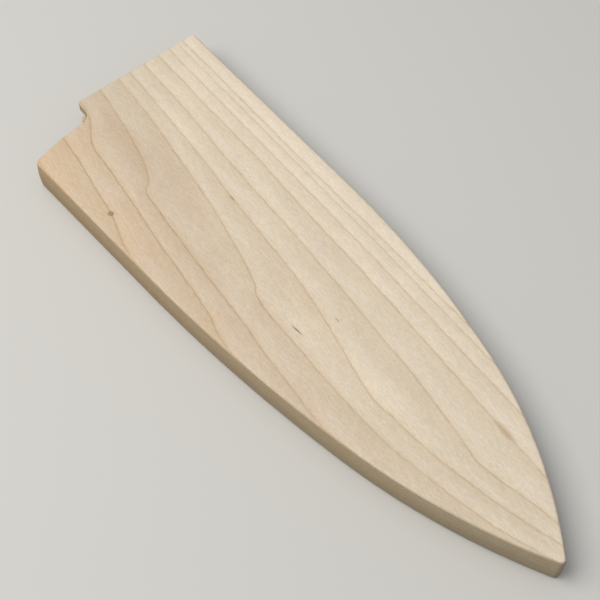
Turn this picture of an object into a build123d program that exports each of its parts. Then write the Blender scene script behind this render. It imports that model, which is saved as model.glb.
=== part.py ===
from build123d import *
import math
import os

# A wooden knife sheath: one board sawn into two thin halves, each hollowed
# for the blade, and glued back together so that the grain matches.
#
# The sheath lies flat. X runs from the mouth to the tip, Y from the knife's
# spine to its cutting edge, and Z up through the thickness. All sizes are
# in millimetres. The outline is drawn from the mouth's plane, and the
# finished pieces are moved so that the origin is the middle of the underside.

# Outside of the board
length = 210.0              # mouth to the sharp tip, on the flat faces
width = 71.7                # cutting edge side to spine side in the mouth's plane, on the flat faces
thickness = 11.4            # both halves and the glue
side_swell = 0.45           # how far the sanded long sides stand out at mid-thickness
tip_round = 1.2             # plan radius that blunts the tip
heel_corner_round = 1.0     # upright corners of the mouth on the heel side
neck_corner_round = 1.8     # upright corner of the mouth at the spine
face_round = 0.85           # edges of the two flat faces

# Long sides, as shares of the length from the mouth and of the width
edge_straight_share = 0.398             # end of the straight run on the cutting edge side
edge_bend_share = (0.727, 0.106)        # where the edge side's two arcs meet, and its drop there
spine_straight_share = (0.329, 0.0512)  # end of the spine side's straight run, and its rise there
spine_bend_share = (0.704, 0.1905)      # where the spine side's two arcs meet, and its rise there
tip_across_share = 0.4904               # tip, measured from the cutting edge side

# Mouth: the heel side reaches further than the neck side
heel_side_width = 47.2      # from the cutting edge side to the step
heel_end_slant = 1.15       # how far the heel side's end drifts inwards on its way to the step
neck_step_depth = 9.2       # how far in the step's inner corner lies
neck_side_lean = 3.0        # degrees off square at which the neck side starts from the step
neck_side_curve = 89.0      # radius in which the neck side then falls away to the spine
step_round = 4.0            # inner corner of the step

# Blade slot
rim = 6.0                   # wood left round the blade, in plan
slot_thick = 4.8            # slot for the blade's spine, across both halves and the glue
slot_thin = 2.4             # slot at the cutting edge
slot_bevel_share = 0.50     # where the slot starts to thin, as a share of the width from the spine side
slot_tip_round = 3.0        # pocket radius at the blade's tip
slot_floor_cove = 0.8       # radius that the cutter leaves along the pocket's floor

glue_film = 0.1             # glue between the halves

overrun = 20.0              # how far cutters and the drawn outline run past the wood

spine_y = 0.0
edge_y = spine_y + width
tip_y = edge_y - width * tip_across_share
step_y = edge_y - heel_side_width
middle_z = thickness / 2


def long_sides(tip_radius):
    """Plan of the two long sides and the tip, running on behind the mouth by the overrun."""
    edge_bend = (length * edge_bend_share[0], edge_y - width * edge_bend_share[1])
    spine_corner = Vector(0, spine_y)
    spine_straight_end = Vector(length * spine_straight_share[0], spine_y + width * spine_straight_share[1])
    spine_bend = (length * spine_bend_share[0], spine_y + width * spine_bend_share[1])
    spine_start = spine_corner - (spine_straight_end - spine_corner).normalized() * overrun
    tip = (length, tip_y)
    with BuildSketch() as plan:
        with BuildLine():
            edge_run = Line((-overrun, edge_y), (length * edge_straight_share, edge_y))
            edge_belly = TangentArc(edge_run @ 1, edge_bend, tangent=edge_run % 1)
            TangentArc(edge_belly @ 1, tip, tangent=edge_belly % 1)
            spine_run = Line(spine_start, spine_straight_end)
            spine_belly = TangentArc(spine_run @ 1, spine_bend, tangent=spine_run % 1)
            TangentArc(spine_belly @ 1, tip, tangent=spine_belly % 1)
            Line(spine_run @ 0, edge_run @ 0)
        make_face()
        if tip_radius > 0:
            fillet(plan.vertices().sort_by(Axis.X)[-1], tip_radius)
    return plan.sketch


def swollen_board():
    """Board with its long sides standing out in a shallow arc between the two flat faces."""
    flat_outline = long_sides(tip_round)
    level_shares = (0.0, 0.25, 0.5, 0.75, 1.0)
    sections = []
    for level in level_shares:
        swell = side_swell * (1 - (2 * level - 1) ** 2)
        outline = flat_outline if swell == 0 else offset(flat_outline, swell, kind=Kind.INTERSECTION)
        sections.append(Pos(0, 0, thickness * level) * outline)
    return loft(sections)


def mouth_cutter():
    """Everything behind the mouth: the straight heel side, the step and the curved neck side."""
    end_slope = heel_end_slant / heel_side_width
    inner_corner = (neck_step_depth, step_y)
    down_neck = Vector(0, -1).rotate(Axis.Z, neck_side_lean)
    past_spine = step_y - spine_y + overrun
    neck_turn = math.degrees(math.asin(past_spine / neck_side_curve + down_neck.X)) - neck_side_lean
    with BuildSketch() as plan:
        with BuildLine():
            heel_side = Polyline(
                (-2 * overrun, edge_y + overrun),
                (-overrun * end_slope, edge_y + overrun),
                (heel_end_slant, step_y),
                inner_corner,
            )
            neck_side = JernArc(inner_corner, down_neck, neck_side_curve, neck_turn)
            Polyline(neck_side @ 1, (-2 * overrun, (neck_side @ 1).Y), heel_side @ 0)
        make_face()
        fillet(plan.vertices().sort_by_distance(inner_corner)[0], step_round)
    return extrude(plan.sketch, thickness)


def upright_near(board, x, y):
    """The upright edge of the mouth nearest to a place in the plan."""
    return board.edges().sort_by_distance((x, y, middle_z))[0]


def rounded_board():
    """Whole board, cut at the mouth and sanded round its corners and edges."""
    board = swollen_board() - mouth_cutter()
    board = fillet([upright_near(board, 0, edge_y), upright_near(board, 0, step_y)], heel_corner_round)
    board = fillet(upright_near(board, neck_step_depth, spine_y), neck_corner_round)
    rims = board.edges().group_by(Axis.Z)
    return fillet(rims[0] + rims[-1], face_round)


def pocket_outline():
    """Plan of the hollow for the blade, running out through the mouth."""
    with BuildSketch() as plan:
        add(offset(long_sides(0), -rim, kind=Kind.INTERSECTION))
        fillet(plan.vertices().sort_by(Axis.X)[-1], slot_tip_round)
    return plan.sketch


def pocket():
    """Hollow for the blade in one half, measured up from the middle of the glue."""
    deep = slot_thick / 2
    shallow = slot_thin / 2
    bevel_y = spine_y + width * slot_bevel_share
    cut_edge_y = edge_y - rim
    with BuildSketch(Plane.YZ.offset(-2 * overrun)) as section:
        with BuildLine():
            Polyline(
                (spine_y - overrun, 0),
                (spine_y - overrun, deep),
                (bevel_y, deep),
                (cut_edge_y, shallow),
                (edge_y + overrun, shallow),
                (edge_y + overrun, 0),
                close=True,
            )
        make_face()
    wedge = extrude(section.sketch, length + 4 * overrun)
    hollow = wedge & extrude(pocket_outline(), deep)
    return fillet(floor_rim(hollow), slot_floor_cove)


def floor_rim(hollow):
    """The edges where the pocket's two floor faces meet its side walls, but not behind the mouth."""
    floors = [face for face in hollow.faces() if face.normal_at().Z > face.normal_at().length / 2]
    edges = [edge for face in floors for edge in face.edges()]
    behind_mouth = hollow.faces().sort_by(Axis.X)[0].edges()
    return [edge for edge in edges if edges.count(edge) == 1 and edge not in behind_mouth]


def build_pieces():
    """The two halves and the glue between them, keyed by node name."""
    board = rounded_board()
    hollow = Pos(0, 0, middle_z) * pocket()
    both_hollows = hollow + mirror(hollow, Plane.XY.offset(middle_z))
    reach = 2 * (length + width)
    upper_z = middle_z + glue_film / 2
    lower_z = middle_z - glue_film / 2
    above = Pos(0, 0, upper_z) * Box(reach, reach, thickness, align=(Align.CENTER, Align.CENTER, Align.MIN))
    below = Pos(0, 0, lower_z) * Box(reach, reach, thickness, align=(Align.CENTER, Align.CENTER, Align.MAX))
    between = Pos(0, 0, middle_z) * Box(reach, reach, glue_film)
    solid_wood = board - both_hollows
    pieces = {
        "upper_half": solid_wood & above,
        "lower_half": solid_wood & below,
        "glue_film": solid_wood & between,
    }
    middle = board.bounding_box().center()
    return {name: Pos(-middle.X, -middle.Y, 0) * piece for name, piece in pieces.items()}


os.makedirs("parts", exist_ok=True)
for node, piece in build_pieces().items():
    export_step(piece, f"parts/{node}.step")
    box = piece.bounding_box()
    print(node, "solids", len(piece.solids()), "from", box.min, "to", box.max)
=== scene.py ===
import math

import bpy
from mathutils import Matrix, Vector


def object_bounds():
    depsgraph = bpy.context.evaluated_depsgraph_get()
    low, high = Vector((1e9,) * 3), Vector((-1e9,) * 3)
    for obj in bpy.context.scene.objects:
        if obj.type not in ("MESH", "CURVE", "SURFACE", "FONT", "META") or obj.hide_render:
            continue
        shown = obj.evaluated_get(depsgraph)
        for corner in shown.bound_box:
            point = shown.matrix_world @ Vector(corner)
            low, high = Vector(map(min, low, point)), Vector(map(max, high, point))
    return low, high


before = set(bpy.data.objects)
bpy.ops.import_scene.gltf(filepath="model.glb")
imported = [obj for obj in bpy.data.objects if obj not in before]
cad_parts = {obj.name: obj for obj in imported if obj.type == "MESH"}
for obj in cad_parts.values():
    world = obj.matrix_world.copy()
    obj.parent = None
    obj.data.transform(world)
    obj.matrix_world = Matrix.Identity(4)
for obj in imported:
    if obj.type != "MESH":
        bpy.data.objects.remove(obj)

bl_info = {
    "name": "Wooden knife sheath",
    "version": (1, 0, 0),
    "blender": (4, 5, 0),
    "location": "3D View > Sidebar > Sheath",
    "description": "Finishes the sheath's two halves and their glue, and sets them on a pale floor",
    "category": "Object",
}

MM_PER_M = 1000
CAD_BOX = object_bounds()
THICKNESS = (CAD_BOX[1][2] - CAD_BOX[0][2]) * MM_PER_M  # mm, both halves and the glue

# Growth rings where they cross the upper face, from the cutting edge side to the spine side.
# Each is a run of (x, y) places in mm. The first passes just outside the outline, so that it
# only shows on the sheath's side.
RINGS = (
    ((-105, 36.8), (105, 36.2)),
    ((-105, 30.6), (-60, 30.1), (0, 29.7), (30, 29.4), (105, 28.5)),
    ((-105, 28.6), (-68, 28.2), (0, 27.6), (31, 26.9), (105, 24.9)),
    ((-105, 24.9), (-52, 24.2), (0, 23.5), (19, 23), (35, 22.3), (52, 21.7), (105, 20.4)),
    ((-105, 20.4), (-52, 19.6), (-36, 18.9), (0, 17.7), (22, 16.7), (41, 15.7), (62, 14.4), (80, 13.5),
     (105, 13)),
    ((-105, 14.5), (-81, 13.7), (-62, 12.5), (-43, 11.5), (-18, 10.4), (1, 9.2), (25, 7.5), (39, 6.5),
     (54, 4.4), (65, 2.8), (70, 2.2), (75, 2.7), (85, 4.7), (105, 7.9)),
    ((-105, 8.8), (-81, 7.2), (-56, 5.6), (-42, 4.1), (-25, 2.8), (-11, 1.6), (1, 0.1), (12, -1.7),
     (19, -3.2), (25, -4.6), (30, -5.7), (35, -6.7), (39, -7.1), (48, -6.6), (58, -6), (68, -4.6), (78, -2.7),
     (90, 0.2), (105, 4.2)),
    ((-105, 4.3), (-87, 3), (-68, 0.9), (-50, -1.7), (-36, -4.1), (-18, -8), (-11.6, -9.9), (-8.5, -11.8),
     (0, -12.9), (10, -13.1), (25, -13.5), (39, -13.8), (50, -13.4), (60, -12.1), (70, -10.3), (80, -8.3),
     (92, -5.1), (105, -0.5)),
    ((-105, -3), (-93, -4.5), (-81, -6.4), (-73, -8.3), (-67, -10), (-62, -12.7), (-59, -15.4),
     (-52, -16.4), (-36, -17.7), (-18, -19.2), (0, -20.7), (9, -21.9), (16, -22.5), (35, -23.7),
     (60, -23.9), (105, -19.9)),
    ((-105, -11.1), (-98, -11.8), (-92, -14.2), (-88.5, -16.3), (-85, -17.9), (-75, -18.9), (-62, -20.4),
     (-43, -22.9), (-26, -24.6), (-13, -26.1), (-2, -28.8), (20, -31.4), (105, -30.7)),
    ((-105, -22.6), (-93, -23.6), (-81, -24.8), (-68, -27), (-60, -28.1), (-46, -32), (-30, -34.4),
     (105, -37.7)),
    ((-105, -32.1), (-85, -35.4), (-50, -38.9), (105, -42.6)),
)
RING_SPAN_X = (-105.0, 105.0)  # mm that the ring curves are drawn over
RING_SPAN_Y = (-45.0, 45.0)
RINGS_PER_MM_DOWN = 0.6  # rings crossed by each mm of depth, as the trunk's centre lies below this side
RING_LEAN = 1.2  # mm that the pattern slides along the board for each mm of depth

# Noises in the wood: length along the grain and width across it in mm, detail, seed
SWAY = (38, 13, 2.0, 0.0)
RIPPLE = (3.2, 1.2, 3.0, 3.0)
MOTTLE = (20, 6, 3.0, 7.0)
BREAKS = (5, 2.5, 3.0, 11.0)
FLECKS = (0.9, 0.5, 1.0, 23.0)
GLUE_SPOTS = (4, 1.5, 2.0, 0.0)
PORE_DETAIL = 2.0
PORE_SEED = 17.0
NOISE_MIDDLE = 0.5
SWAY_REACH = 1.0  # mm that the ring lines wander slowly
RIPPLE_REACH = 0.85  # mm that they wiggle
MOTTLE_REACH = 0.7  # share of the way from the palest wood to the tan wood

# Warmth of the plain wood, from 0, palest, to 1, tan
PALEST_Y = 32.0  # mm across the board
WARMEST_Y = -28.0
WARMEST = 0.8
COOLING_PER_MM = 0.0025  # share of its warmth that the wood loses for each mm towards the tip

# Bands between ring lines, from narrow to broad, in mm, and how much a narrow one keeps of its shading
# and of its lines
BAND_SPAN = (1.5, 6.5)
NARROW_SHADE = 0.3
NARROW_LINE = 0.45

# Strength of the ring lines: everywhere, in the runs between the breaks, and more on a strip by the spine
LINE_EVERYWHERE = 0.08
LINE_IN_RUNS = 0.57
LINE_ON_STRIP = 0.35
STRIP_Y = -20.0  # mm, the strip's middle
STRIP_HALF_WIDTH = 24.0  # mm
STRIP_FADE_X = (-45.0, 45.0)  # mm over which it fades towards the tip

# Brightness of the speckle, and the span of its noise that it is spread over
PORE_SHADE = (0.91, 1.05)
PORE_SPAN = (0.30, 0.70)
FLECK_SHADE = (0.945, 1.055)
FLECK_SPAN = (0.25, 0.75)
SIDE_SHADE_START = 1.0  # mm from a face, where the painted warm shade on the sides is full

# Dark streaks on the upper face: centre in mm, half length along the grain, half width, turn in
# degrees, strength
STREAKS = (
    ((8, -9.9), 2.9, 0.40, 5.0, 0.95),
    ((12.7, 1.2), 1.5, 0.30, 4.0, 0.55),
    ((-41.3, 3.9), 1.9, 0.40, 3.0, 0.60),
)
# Soft patches on the upper face: centre in mm, half length along the grain, half width, turn in
# degrees, how much warmer the wood gets there, and how much darker
PATCHES = (
    ((-76, -7), 38, 12, -4.0, 0.25, 0.08),
    ((-35, -17), 42, 8, -6.0, 0.10, 0.04),
    ((-112, 10), 32, 50, 0.0, 0.0, 0.07),
    ((35, -6), 34, 8, 0.0, -0.25, -0.03),
    ((0, 12), 90, 7, -5.0, 0.0, 0.03),
    ((100, 4), 28, 18, 0.0, -0.10, 0.04),
    ((68.3, 14.2), 5.0, 1.5, -2.0, 1.0, 0.07),
    ((4, -4), 18, 7, -10.0, 0.0, -0.045),
    ((-42, 27), 34, 5, -2.0, 0.0, -0.03),
    ((-86, 35), 22, 5, 0.0, 0.0, 0.06),
)
RIM_EASE = 0.1  # share of a streak's or patch's size over which its rim is softened

KNOT = (-59.4, -28.3)  # mm, where a twig's pin knot meets the upper face
KNOT_RADIUS = 0.72  # mm
# How dark the knot is, from its heart to twice its radius
KNOT_STOPS = ((0.00, 0.20), (0.15, 0.35), (0.38, 0.75), (0.52, 0.45), (0.75, 0.08), (1.00, 0.0))

# Camera, fitted to the outline in the photograph
CAMERA_AZIMUTH = 51.3  # degrees
CAMERA_ELEVATION = 57.85  # degrees
CAMERA_DISTANCE = 0.3513  # m from the point that it looks at
CAMERA_TARGET = (-0.00214, -0.00064, 0.0057)
CAMERA_LENS = 71.35  # mm
CAMERA_SENSOR = 36.0  # mm wide
CAMERA_NEAREST = 0.01  # m

# Floor, and the place and side of each lamp, in m
FLOOR_HALF = 1.5
KEY_PLACE = (-0.08, -0.02, 0.80)
KEY_SIDE = 0.9
TOP_PLACE = (-0.21, -0.36, 0.73)
TOP_SIDE = 0.6
WHITE = (1.0, 1.0, 1.0)


def linear(hex_colour):
    """An sRGB hex colour as linear red, green and blue."""
    parts = [int(hex_colour[i:i + 2], 16) / 255 for i in (1, 3, 5)]
    return tuple(p / 12.92 if p <= 0.04045 else ((p + 0.055) / 1.055) ** 2.4 for p in parts)


class SheathFinish(bpy.types.PropertyGroup):
    """Colours and grain of the wood and the glue.

    The real pores are about a tenth of a mm wide, too fine to show, so their streaks are drawn wider.
    """

    pale_wood: bpy.props.FloatVectorProperty(
        name="Pale wood", description="Wood on the cutting edge side", subtype="COLOR", size=3,
        default=linear("#E4D7C4"), min=0, max=1)
    middle_wood: bpy.props.FloatVectorProperty(
        name="Middle wood", description="Wood along the middle", subtype="COLOR", size=3,
        default=linear("#DACCB8"), min=0, max=1)
    warm_wood: bpy.props.FloatVectorProperty(
        name="Warm wood", description="Wood towards the spine side", subtype="COLOR", size=3,
        default=linear("#D1BFA9"), min=0, max=1)
    tan_wood: bpy.props.FloatVectorProperty(
        name="Tan wood", description="Warmest wood, on the spine side by the mouth", subtype="COLOR", size=3,
        default=linear("#D2BA9F"), min=0, max=1)
    ring_line: bpy.props.FloatVectorProperty(
        name="Ring line", description="Thin line that ends each year's growth", subtype="COLOR", size=3,
        default=linear("#B2997C"), min=0, max=1)
    knot_brown: bpy.props.FloatVectorProperty(
        name="Knot brown", description="Pin knot and dark streaks", subtype="COLOR", size=3,
        default=linear("#76541F"), min=0, max=1)
    glue: bpy.props.FloatVectorProperty(
        name="Glue", description="Dried glue between the halves", subtype="COLOR", size=3,
        default=linear("#B29979"), min=0, max=1)
    # Painted warm shade: a tint on the sides that stands in for the dim, warm light falling on them
    painted_side_shade: bpy.props.FloatVectorProperty(
        name="Side tint", description="How much browner the wood looks on the sides than on the faces",
        subtype="COLOR", size=3, default=linear("#FFFAEA"), min=0, max=1)
    line_width: bpy.props.FloatProperty(
        name="Line width", description="Width of a ring line where it meets the face",
        default=0.0010, unit="LENGTH", min=0.0001, max=0.002)
    pore_width: bpy.props.FloatProperty(
        name="Pore width", description="Width of the fine streaks that the pores leave",
        default=0.00035, unit="LENGTH", min=0.0001, max=0.002)
    pore_length: bpy.props.FloatProperty(
        name="Pore length", description="Length of the fine streaks that the pores leave",
        default=0.0022, unit="LENGTH", min=0.0005, max=0.02)


class StageSettings(bpy.types.PropertyGroup):
    """Floor and light."""

    floor: bpy.props.FloatVectorProperty(
        name="Floor", description="Colour that the floor shows to the camera", subtype="COLOR", size=3,
        default=linear("#CECECD"), min=0, max=1)
    floor_bounce: bpy.props.FloatProperty(
        name="Floor bounce", description="Share of the light that the floor throws back on the sheath",
        default=0.05, min=0, max=1, subtype="FACTOR")
    sky: bpy.props.FloatProperty(
        name="Sky", description="Even light from all round", default=0.32, min=0, max=2)
    key_power: bpy.props.FloatProperty(
        name="Key light", description="Power of the large soft lamp overhead",
        default=1.25, min=0, unit="POWER")
    top_power: bpy.props.FloatProperty(
        name="Top light", description="Power of the warm soft lamp over the spine side",
        default=5.15, min=0, unit="POWER")
    top_colour: bpy.props.FloatVectorProperty(
        name="Top light colour", description="Colour of the lamp over the spine side", subtype="COLOR",
        size=3, default=linear("#FFFAF0"), min=0, max=1)


def rgba(colour):
    """A colour with an alpha of one."""
    return (*colour, 1.0)


def add(tree, kind, *inputs, **settings):
    """Adds one shader node with its settings and links, and gives it back.

    The inputs are in the order of its sockets, or in one dict by their names or numbers. Each is
    a plain value, another node's output, or another node, which stands for its first live output.
    """
    node = tree.nodes.new("ShaderNode" + kind)
    for name, value in settings.items():
        setattr(node, name, value)
    by_socket = inputs[0] if inputs and isinstance(inputs[0], dict) else dict(enumerate(inputs))
    for key, value in by_socket.items():
        if isinstance(value, bpy.types.Node):
            value = next(output for output in value.outputs if output.enabled)
        if isinstance(value, bpy.types.NodeSocket):
            tree.links.new(value, node.inputs[key])
        else:
            node.inputs[key].default_value = value
    return node


def new_material(name):
    """An empty node material, with its tree."""
    material = bpy.data.materials.new(name)
    material.use_nodes = True
    material.node_tree.nodes.clear()
    return material, material.node_tree


def set_stops(ramp, stops):
    """Gives a Color Ramp its stops: (place, linear colour)."""
    elements = ramp.color_ramp.elements
    while len(elements) > 1:
        elements.remove(elements[-1])
    elements[0].position, elements[0].color = stops[0][0], rgba(stops[0][1])
    for place, colour in stops[1:]:
        elements.new(place).color = rgba(colour)


def place_in_mm(tree):
    """Place on the sheath in mm, from Object coordinates."""
    in_metres = add(tree, "TexCoord").outputs["Object"]
    return add(tree, "VectorMath", {"Vector": in_metres, "Scale": MM_PER_M}, operation="SCALE")


def easing_off(tree, value, start, end):
    """1 up to the start, easing to 0 at the end."""
    return add(tree, "MapRange", value, start, end, 1.0, 0.0, interpolation_type="SMOOTHSTEP")


def tinted(tree, colour, tint, share=1.0):
    """A colour multiplied by a tint, in full or in part."""
    return add(tree, "Mix", {0: share, 6: colour, 7: tint}, data_type="RGBA", blend_type="MULTIPLY")


def grain_noise(tree, place, length, width, detail, seed):
    """Noise from 0 to 1, drawn out along the grain: length and width are in mm."""
    per_mm = (1 / length, 1 / width, 1 / width)
    scaled = add(tree, "VectorMath", place, per_mm, operation="MULTIPLY")
    return add(tree, "TexNoise", {"Vector": scaled, "W": seed, "Scale": 1.0, "Detail": detail},
               noise_dimensions="4D")


def uneven(tree, place, value, noise, reach):
    """A value that a noise raises in some places and lowers in others, over the reach in all."""
    off_middle = add(tree, "Math", grain_noise(tree, place, *noise), NOISE_MIDDLE, operation="SUBTRACT")
    return add(tree, "Math", off_middle, reach, value, operation="MULTIPLY_ADD")


def share_of(value, span):
    """Where a value lies in a span, from 0 to 1."""
    return (value - span[0]) / (span[1] - span[0])


def ring_height(tree, along, ring):
    """Height in mm across the board at which one ring line runs, for the place along it (0 to 1)."""
    drawn = add(tree, "FloatCurve", {"Value": along})
    points = drawn.mapping.curves[0].points
    first, *middle, last = ring
    points[0].location = (share_of(first[0], RING_SPAN_X), share_of(first[1], RING_SPAN_Y))
    points[1].location = (share_of(last[0], RING_SPAN_X), share_of(last[1], RING_SPAN_Y))
    for x, y in middle:
        points.new(share_of(x, RING_SPAN_X), share_of(y, RING_SPAN_Y))
    for point in points:
        point.handle_type = "AUTO_CLAMPED"
    drawn.mapping.update()
    return add(tree, "MapRange", drawn, 0.0, 1.0, *RING_SPAN_Y, clamp=False)


def ring_count(tree, x, y, z):
    """Rings passed on the way from the cutting edge side, and the width in mm of the band there.

    Whole numbers lie on the ring lines. Between two neighbouring lines the count grows evenly
    across the board, and it grows evenly with depth too, as the rings lean over inside the wood.
    """
    depth = add(tree, "Math", THICKNESS, z, operation="SUBTRACT")
    slid = add(tree, "Math", depth, RING_LEAN, x, operation="MULTIPLY_ADD")
    along = add(tree, "MapRange", slid, *RING_SPAN_X, 0.0, 1.0, clamp=False)
    count = add(tree, "Math", depth, RINGS_PER_MM_DOWN, operation="MULTIPLY")
    above = ring_height(tree, along, RINGS[0])
    for number, ring in enumerate(RINGS[1:]):
        below = ring_height(tree, along, ring)
        width = add(tree, "Math", above, below, operation="SUBTRACT")
        past = add(tree, "Math", above, y, operation="SUBTRACT")
        passed = add(tree, "Math", past, width, operation="DIVIDE")
        if number == 0:
            band = width
        else:
            passed = add(tree, "Math", passed, 0.0, operation="MAXIMUM")
            inside = add(tree, "Math", past, 0.0, operation="GREATER_THAN")
            band = add(tree, "Mix", {0: inside, 2: band, 3: width})
        if number < len(RINGS) - 2:
            passed = add(tree, "Math", passed, 1.0, operation="MINIMUM")
        count = add(tree, "Math", count, passed, operation="ADD")
        above = below
    return count, band


def oval(tree, place, centre, half_length, half_width, turn):
    """1 at a place on the upper face, falling to 0 at the rim of an oval that lies along the grain.

    The oval is turned about the face's normal, and reaches as deep into the wood as it is long.
    """
    local = add(tree, "Mapping", {
        "Vector": place,
        "Location": (*centre, THICKNESS),
        "Rotation": (0, 0, math.radians(turn)),
        "Scale": (half_length, half_width, half_length),
    }, vector_type="TEXTURE")
    distance = add(tree, "VectorMath", local, operation="LENGTH")
    inside = add(tree, "Math", 1.0, distance, operation="SUBTRACT")
    return add(tree, "Math", inside, 0.0, RIM_EASE, operation="SMOOTH_MAX", use_clamp=True)


def plain_wood(tree, finish, place, x, y):
    """Wood that warms towards the spine side, and more so by the mouth, in soft patches."""
    across = add(tree, "MapRange", y, PALEST_Y, WARMEST_Y, 0.0, WARMEST)
    to_mouth = add(tree, "Math", x, -COOLING_PER_MM, 1.0, operation="MULTIPLY_ADD")
    warm = add(tree, "Math", across, to_mouth, operation="MULTIPLY")
    warm = uneven(tree, place, warm, MOTTLE, MOTTLE_REACH)
    light = 1.0
    for centre, half_length, half_width, turn, warmer, darker in PATCHES:
        patch = oval(tree, place, centre, half_length, half_width, turn)
        warm = add(tree, "Math", patch, warmer, warm, operation="MULTIPLY_ADD")
        light = add(tree, "Math", patch, -darker, light, operation="MULTIPLY_ADD")
    wood = add(tree, "ValToRGB", warm)
    set_stops(wood, (
        (0.0, finish.pale_wood),
        (0.4, finish.middle_wood),
        (0.8, finish.warm_wood),
        (1.0, finish.tan_wood),
    ))
    return tinted(tree, wood, light)


def season_shade(tree, season):
    """Tint of the wood from one ring line (0) to the next (1): brown, then pale, then straw-coloured."""
    shade = add(tree, "ValToRGB", season)
    set_stops(shade, (
        (0.00, (0.955, 0.935, 0.900)),
        (0.15, (0.965, 0.950, 0.920)),
        (0.45, (0.995, 0.990, 0.985)),
        (0.65, (1.030, 1.045, 1.075)),
        (0.82, (1.045, 1.050, 1.060)),
        (0.92, (1.035, 1.025, 1.000)),
        (1.00, (1.010, 0.990, 0.940)),
    ))
    return shade


def line_strength(tree, finish, place, x, y, season, band, breadth):
    """How strongly a ring line's brown shows: in broken runs, and more on the strip by the spine."""
    mm_past = add(tree, "Math", season, band, operation="MULTIPLY")
    mm_ahead = add(tree, "Math", band, mm_past, operation="SUBTRACT")
    nearest = add(tree, "Math", mm_past, mm_ahead, operation="MINIMUM")
    line = easing_off(tree, nearest, 0.0, finish.line_width * MM_PER_M / 2)
    from_middle = add(tree, "Math", y, -STRIP_Y, operation="ADD")
    off_strip = add(tree, "Math", from_middle, operation="ABSOLUTE")
    across = easing_off(tree, off_strip, 0.0, STRIP_HALF_WIDTH)
    strip = add(tree, "Math", across, easing_off(tree, x, *STRIP_FADE_X), operation="MULTIPLY")
    steady = add(tree, "Math", strip, LINE_ON_STRIP, LINE_EVERYWHERE, operation="MULTIPLY_ADD")
    breaks = grain_noise(tree, place, *BREAKS)
    brown = add(tree, "Math", breaks, LINE_IN_RUNS, steady, operation="MULTIPLY_ADD")
    fainter = add(tree, "Math", breadth, 1 - NARROW_LINE, NARROW_LINE, operation="MULTIPLY_ADD")
    strength = add(tree, "Math", line, brown, operation="MULTIPLY")
    return add(tree, "Math", strength, fainter, operation="MULTIPLY", use_clamp=True)


def speckle(tree, place, pores):
    """Brightness of the fine streaks that the pores leave, with still finer flecks over them."""
    pore_shade = add(tree, "MapRange", pores, *PORE_SPAN, *PORE_SHADE)
    flecks = grain_noise(tree, place, *FLECKS)
    fleck_shade = add(tree, "MapRange", flecks, *FLECK_SPAN, *FLECK_SHADE)
    return add(tree, "Math", pore_shade, fleck_shade, operation="MULTIPLY")


def painted_side_mask(tree, z):
    """Painted warm shade on the sides: 0 on the two faces, easing to 1 a little way down the sides."""
    from_upper = add(tree, "Math", THICKNESS, z, operation="SUBTRACT")
    from_face = add(tree, "Math", z, from_upper, operation="MINIMUM")
    return add(tree, "MapRange", from_face, 0.0, SIDE_SHADE_START, 0.0, 1.0, interpolation_type="SMOOTHSTEP")


def with_marks(tree, finish, place, wood):
    """The wood with its few dark streaks, and the pin knot with its paler heart."""
    brown = rgba(finish.knot_brown)
    for centre, half_length, half_width, turn, strength in STREAKS:
        streak = oval(tree, place, centre, half_length, half_width, turn)
        dark = add(tree, "Math", streak, strength, operation="MULTIPLY")
        wood = add(tree, "Mix", {0: dark, 6: wood, 7: brown}, data_type="RGBA")
    flat = {"Vector": place, "Location": (-KNOT[0], -KNOT[1], 0), "Scale": (1, 1, 0)}
    distance = add(tree, "VectorMath", add(tree, "Mapping", flat), operation="LENGTH")
    outwards = add(tree, "Math", distance, KNOT_RADIUS * 2, operation="DIVIDE", use_clamp=True)
    knot = add(tree, "ValToRGB", outwards)
    set_stops(knot, [(place_out, (dark,) * 3) for place_out, dark in KNOT_STOPS])
    return add(tree, "Mix", {0: knot, 6: wood, 7: brown}, data_type="RGBA")


def sanded_magnolia(finish):
    """Bare magnolia, sanded fine: pale cream to pink-brown, matt, with thin brown ring lines.

    The wood is palest some way short of each line, turns straw-coloured close to it, and is
    browner just past it, which gives the eye soft, one-sided bands.
    """
    material, tree = new_material("sanded_magnolia")
    place = place_in_mm(tree)
    x, y, z = add(tree, "SeparateXYZ", place).outputs
    swaying = uneven(tree, place, y, SWAY, SWAY_REACH)
    count, band = ring_count(tree, x, uneven(tree, place, swaying, RIPPLE, RIPPLE_REACH), z)
    season = add(tree, "Math", count, operation="FRACT")
    breadth = add(tree, "MapRange", band, *BAND_SPAN, NARROW_SHADE, 1.0)

    wood = plain_wood(tree, finish, place, x, y)
    wood = tinted(tree, wood, season_shade(tree, season), breadth)
    strength = line_strength(tree, finish, place, x, y, season, band, breadth)
    wood = add(tree, "Mix", {0: strength, 6: wood, 7: rgba(finish.ring_line)}, data_type="RGBA")

    pore_size = (finish.pore_length * MM_PER_M, finish.pore_width * MM_PER_M)
    pores = grain_noise(tree, place, *pore_size, PORE_DETAIL, PORE_SEED)
    wood = tinted(tree, wood, speckle(tree, place, pores))
    # Painted warm shade: the sides are made browner and darker than the faces
    wood = tinted(tree, wood, rgba(finish.painted_side_shade), painted_side_mask(tree, z))
    wood = with_marks(tree, finish, place, wood)

    bump = add(tree, "Bump", {"Height": pores, "Strength": 0.08, "Distance": 0.0001})
    skin = add(tree, "BsdfPrincipled", {"Base Color": wood, "Roughness": 0.78, "IOR": 1.45, "Normal": bump})
    add(tree, "OutputMaterial", skin)
    return material


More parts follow.
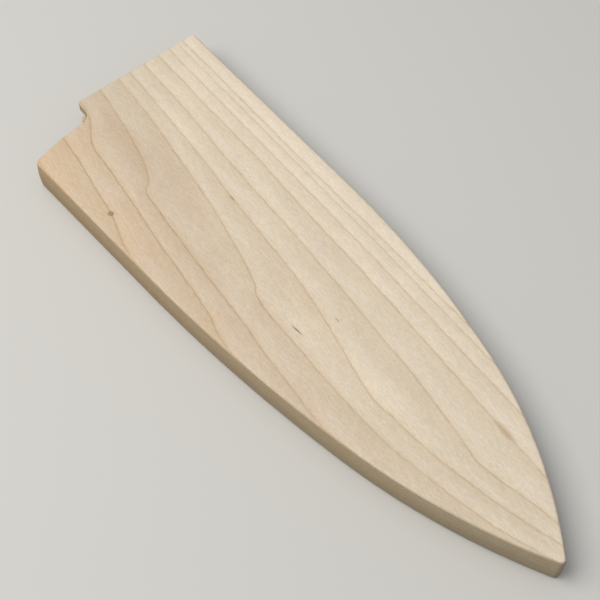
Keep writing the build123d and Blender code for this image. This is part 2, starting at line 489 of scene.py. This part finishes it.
def dried_wood_glue(finish):
    """Yellow wood glue, dried and sanded flush: a thin amber-brown line, a little smoother than the wood."""
    material, tree = new_material("dried_wood_glue")
    spots = grain_noise(tree, place_in_mm(tree), *GLUE_SPOTS)
    paler = [min(1.0, part * 1.25) for part in finish.glue]
    colour = add(tree, "Mix", {0: spots, 6: rgba(finish.glue), 7: rgba(paler)}, data_type="RGBA")
    skin = add(tree, "BsdfPrincipled", {"Base Color": colour, "Roughness": 0.5, "IOR": 1.5})
    add(tree, "OutputMaterial", skin)
    return material


def give_material(node_name, material):
    """Puts one material on every slot of a CAD node's object."""
    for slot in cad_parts[node_name].material_slots:
        slot.material = material


class SHEATH_OT_halves(bpy.types.Operator):
    """Gives both halves the same solid wood, so that its rings run on from one into the other."""

    bl_idname = "sheath.halves"
    bl_label = "Finish the halves"

    def execute(self, context):
        wood = sanded_magnolia(context.scene.sheath_finish)
        for name in ("upper_half", "lower_half"):
            give_material(name, wood)
        return {"FINISHED"}


class SHEATH_OT_glue(bpy.types.Operator):
    """Gives the film between the halves its dried glue."""

    bl_idname = "sheath.glue"
    bl_label = "Finish the glue"

    def execute(self, context):
        give_material("glue_film", dried_wood_glue(context.scene.sheath_finish))
        return {"FINISHED"}


def plain_floor(settings):
    """A pale matt floor. What it throws back on the sheath is set apart from what the camera sees."""
    material, tree = new_material("pale_floor")
    path = add(tree, "LightPath").outputs
    mirrored = add(tree, "Math", path["Is Glossy Ray"], path["Is Transmission Ray"], operation="MAXIMUM")
    seen = add(tree, "Math", path["Is Camera Ray"], mirrored, operation="MAXIMUM")
    bounce = (settings.floor_bounce,) * 3
    colour = add(tree, "Mix", {0: seen, 6: rgba(bounce), 7: rgba(settings.floor)}, data_type="RGBA")
    add(tree, "OutputMaterial", add(tree, "BsdfDiffuse", colour))
    corners = [(x * FLOOR_HALF, y * FLOOR_HALF, 0) for x, y in ((-1, -1), (1, -1), (1, 1), (-1, 1))]
    mesh = bpy.data.meshes.new("floor")
    mesh.from_pydata(corners, [], [(0, 1, 2, 3)])
    mesh.materials.append(material)
    floor = bpy.data.objects.new("floor", mesh)
    bpy.context.scene.collection.objects.link(floor)


def sky(settings):
    """Even light from all round, and the same pale tone as the floor behind the sheath."""
    world = bpy.data.worlds.new("studio")
    world.use_nodes = True
    tree = world.node_tree
    tree.nodes.clear()
    seen = add(tree, "LightPath").outputs["Is Camera Ray"]
    light = add(tree, "Background", rgba(WHITE), settings.sky)
    backdrop = add(tree, "Background", rgba(settings.floor), 1.0)
    add(tree, "OutputWorld", add(tree, "MixShader", seen, light, backdrop))
    bpy.context.scene.world = world


def soft_lamp(name, place, side, power, colour):
    """A square area lamp that looks at the sheath."""
    lamp = bpy.data.lights.new(name, "AREA")
    lamp.shape = "SQUARE"
    lamp.size = side
    lamp.energy = power
    lamp.color = colour
    holder = bpy.data.objects.new(name, lamp)
    holder.location = place
    holder.rotation_euler = (-Vector(place)).to_track_quat("-Z", "Y").to_euler()
    bpy.context.scene.collection.objects.link(holder)


def camera():
    """Camera on the line through its target at the photograph's azimuth and elevation, level."""
    turn, rise = math.radians(CAMERA_AZIMUTH), math.radians(CAMERA_ELEVATION)
    right = Vector((math.cos(turn), math.sin(turn), 0))
    ahead = Vector((-math.sin(turn), math.cos(turn), 0))
    back = -ahead * math.cos(rise) + Vector((0, 0, 1)) * math.sin(rise)
    up = ahead * math.sin(rise) + Vector((0, 0, 1)) * math.cos(rise)
    data = bpy.data.cameras.new("camera")
    data.lens = CAMERA_LENS
    data.sensor_width = CAMERA_SENSOR
    data.clip_start = CAMERA_NEAREST
    holder = bpy.data.objects.new("camera", data)
    turned = Matrix((right, up, back)).transposed().to_4x4()
    holder.matrix_world = Matrix.Translation(Vector(CAMERA_TARGET) + back * CAMERA_DISTANCE) @ turned
    bpy.context.scene.collection.objects.link(holder)
    bpy.context.scene.camera = holder


class SHEATH_OT_stage(bpy.types.Operator):
    """Sets the floor, the light and the camera."""

    bl_idname = "sheath.stage"
    bl_label = "Set the stage"

    def execute(self, context):
        settings = context.scene.sheath_stage
        plain_floor(settings)
        sky(settings)
        soft_lamp("key", KEY_PLACE, KEY_SIDE, settings.key_power, WHITE)
        soft_lamp("top", TOP_PLACE, TOP_SIDE, settings.top_power, settings.top_colour)
        camera()
        context.scene.view_settings.view_transform = "Standard"
        return {"FINISHED"}


class SHEATH_PT_panel(bpy.types.Panel):
    """Sheath settings and its steps, in order."""

    bl_idname = "SHEATH_PT_panel"
    bl_label = "Sheath"
    bl_space_type = "VIEW_3D"
    bl_region_type = "UI"
    bl_category = "Sheath"

    def draw(self, context):
        for group in (context.scene.sheath_finish, context.scene.sheath_stage):
            for name in group.__annotations__:
                self.layout.prop(group, name)
        for operator in (SHEATH_OT_halves, SHEATH_OT_glue, SHEATH_OT_stage):
            self.layout.operator(operator.bl_idname)


CLASSES = (SheathFinish, StageSettings, SHEATH_OT_halves, SHEATH_OT_glue, SHEATH_OT_stage, SHEATH_PT_panel)


def register():
    for item in CLASSES:
        bpy.utils.register_class(item)
    bpy.types.Scene.sheath_finish = bpy.props.PointerProperty(type=SheathFinish)
    bpy.types.Scene.sheath_stage = bpy.props.PointerProperty(type=StageSettings)


def unregister():
    del bpy.types.Scene.sheath_stage
    del bpy.types.Scene.sheath_finish
    for item in reversed(CLASSES):
        bpy.utils.unregister_class(item)


def main():
    register()
    bpy.ops.sheath.halves()
    bpy.ops.sheath.glue()
    bpy.ops.sheath.stage()


if __name__ == "__main__":
    main()
